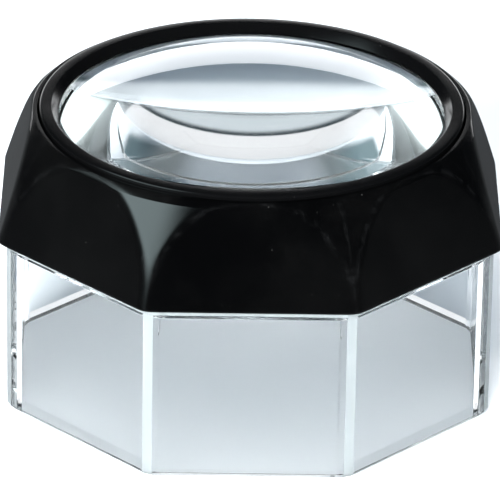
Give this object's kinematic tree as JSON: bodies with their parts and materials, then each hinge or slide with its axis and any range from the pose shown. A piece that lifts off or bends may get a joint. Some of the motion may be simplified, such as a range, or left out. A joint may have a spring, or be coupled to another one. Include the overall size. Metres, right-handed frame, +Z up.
{
  "type": "stand magnifier",
  "caption": "Desk magnifier: a dome lens in a black octagonal head that stands on a clear octagonal skirt, for reading small print laid under it.",
  "frame": {"origin": "centre of the ring that the skirt stands on, at the level of the page", "axes": "+Z up along the optical axis; -Y towards the front flat"},
  "size_m": [0.085, 0.085, 0.0562],
  "materials": {
    "clear_acrylic": "polished clear acrylic with satin cut edges",
    "black_gloss": "polished black moulding",
    "black_satin": "satin black moulding",
    "lens_glass": "polished optical surface",
    "black_rubber": "matt"
  },
  "bodies": {
    "base": {"clear_base": "clear_acrylic"},
    "head": {"hood": "black_gloss", "rim_ring": "black_satin", "lens": "lens_glass", "lens_cushion": "black_rubber"}
  },
  "joints": [
    {"name": "head_lift", "type": "slide", "parent": "base", "child": "head", "axis": [0, 0, 1], "range_m": [0, 0.04]}
  ]
}
